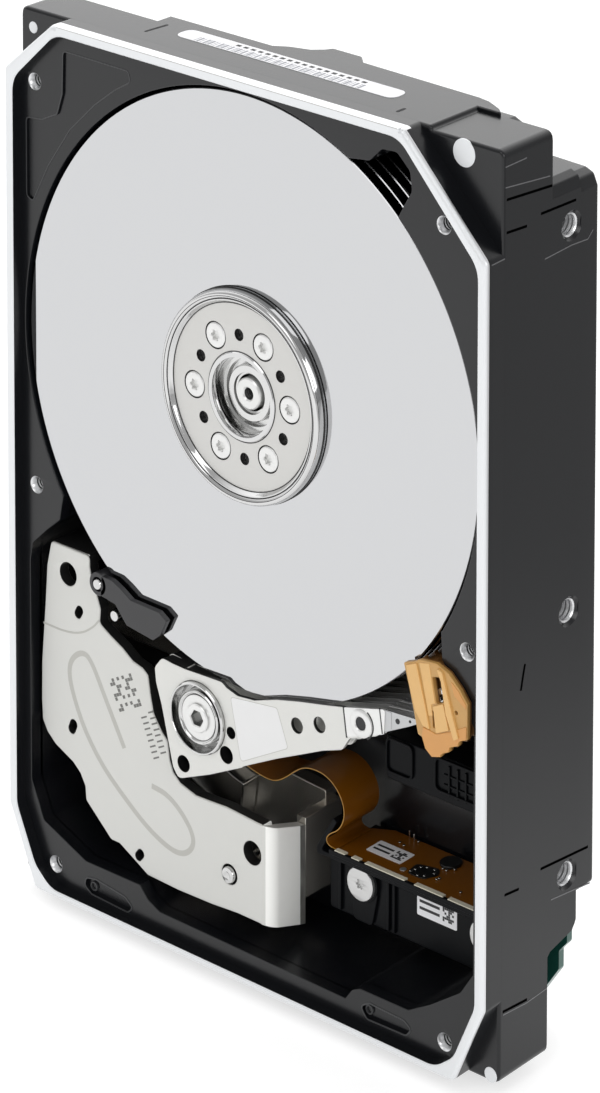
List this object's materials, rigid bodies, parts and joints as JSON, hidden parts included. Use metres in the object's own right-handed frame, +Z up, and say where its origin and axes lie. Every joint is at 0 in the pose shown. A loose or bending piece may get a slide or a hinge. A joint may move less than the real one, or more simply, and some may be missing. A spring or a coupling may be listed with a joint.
{
  "type": "hard disk drive",
  "caption": "Internal 3.5-inch hard disk drive with its cover removed, showing stacked platters that spin, a swinging head stack, voice-coil magnets, load ramp, latch and circuit board",
  "frame": {"origin": "centre of the bottom of the bounding box: the drive stands on its connector end", "axes": "+Z up along the length of the drive, +X across its width to the right as seen from the open side, -Y out of the open platter side, +Y out of the circuit-board side"},
  "size_m": [0.1016, 0.0256, 0.1465],
  "materials": {
    "casting": "black coated aluminium casting with a bright machined sealing rim",
    "disk": "mirror polished",
    "machined": "machined",
    "steel": "fine satin",
    "nickel": "satin nickel plate",
    "magnet": "nickel plated magnet",
    "copper": "lacquered copper wire and laminations",
    "black_plastic": "moulded black plastic",
    "rubber": "soft black rubber",
    "ramp_plastic": "tan engineering plastic",
    "flex": "amber polyimide film",
    "filter": "white felt",
    "board": "green solder mask"
  },
  "bodies": {
    "base": {"base_casting": "casting", "circuit_board": "board", "sata_connector": "black_plastic", "spindle_shaft": "steel", "stator": "copper", "lower_yoke": "nickel", "lower_magnet": "magnet", "upper_magnet": "magnet", "upper_yoke": "nickel", "yoke_dowel": "steel", "crash_stop": "rubber", "pivot_shaft": "steel", "load_ramp": "ramp_plastic", "ramp_screw": "steel", "latch_pin": "steel", "flex_cable": "flex", "flex_board": "flex", "flex_bracket": "black_plastic", "bracket_screw_1": "steel", "bracket_screw_2": "steel", "desiccant_box": "black_plastic", "air_filter": "filter"},
    "spindle": {"spindle_hub": "machined", "rotor_magnet": "magnet", "platter_1": "disk", "platter_2": "disk", "platter_3": "disk", "platter_4": "disk", "platter_5": "disk", "platter_6": "disk", "platter_7": "disk", "platter_8": "disk", "disk_spacer_1": "machined", "disk_spacer_2": "machined", "disk_spacer_3": "machined", "disk_spacer_4": "machined", "disk_spacer_5": "machined", "disk_spacer_6": "machined", "disk_spacer_7": "machined", "disk_clamp": "machined", "clamp_screw_1": "steel", "clamp_screw_2": "steel", "clamp_screw_3": "steel", "clamp_screw_4": "steel", "clamp_screw_5": "steel", "clamp_screw_6": "steel"},
    "actuator": {"arm_block": "machined", "pivot_sleeve": "steel", "voice_coil": "copper", "coil_frame": "black_plastic", "suspension_1": "steel", "suspension_2": "steel", "suspension_3": "steel", "suspension_4": "steel", "suspension_5": "steel", "suspension_6": "steel", "suspension_7": "steel", "suspension_8": "steel", "suspension_9": "steel"},
    "latch_lever": {"latch": "black_plastic"}
  },
  "joints": [
    {"name": "spindle_spin", "type": "hinge", "parent": "base", "child": "spindle", "pos_m": [0, 0, 0.0959], "axis": [0, -1, 0], "continuous": true},
    {"name": "actuator_swing", "type": "hinge", "parent": "base", "child": "actuator", "pos_m": [-0.0092, 0, 0.0416], "axis": [0, -1, 0], "range_deg": [0, 40], "deforming": ["flex_cable"]},
    {"name": "latch_swing", "type": "hinge", "parent": "base", "child": "latch_lever", "pos_m": [-0.0312, 0, 0.0569], "axis": [0, -1, 0], "range_deg": [-6, 10]}
  ]
}
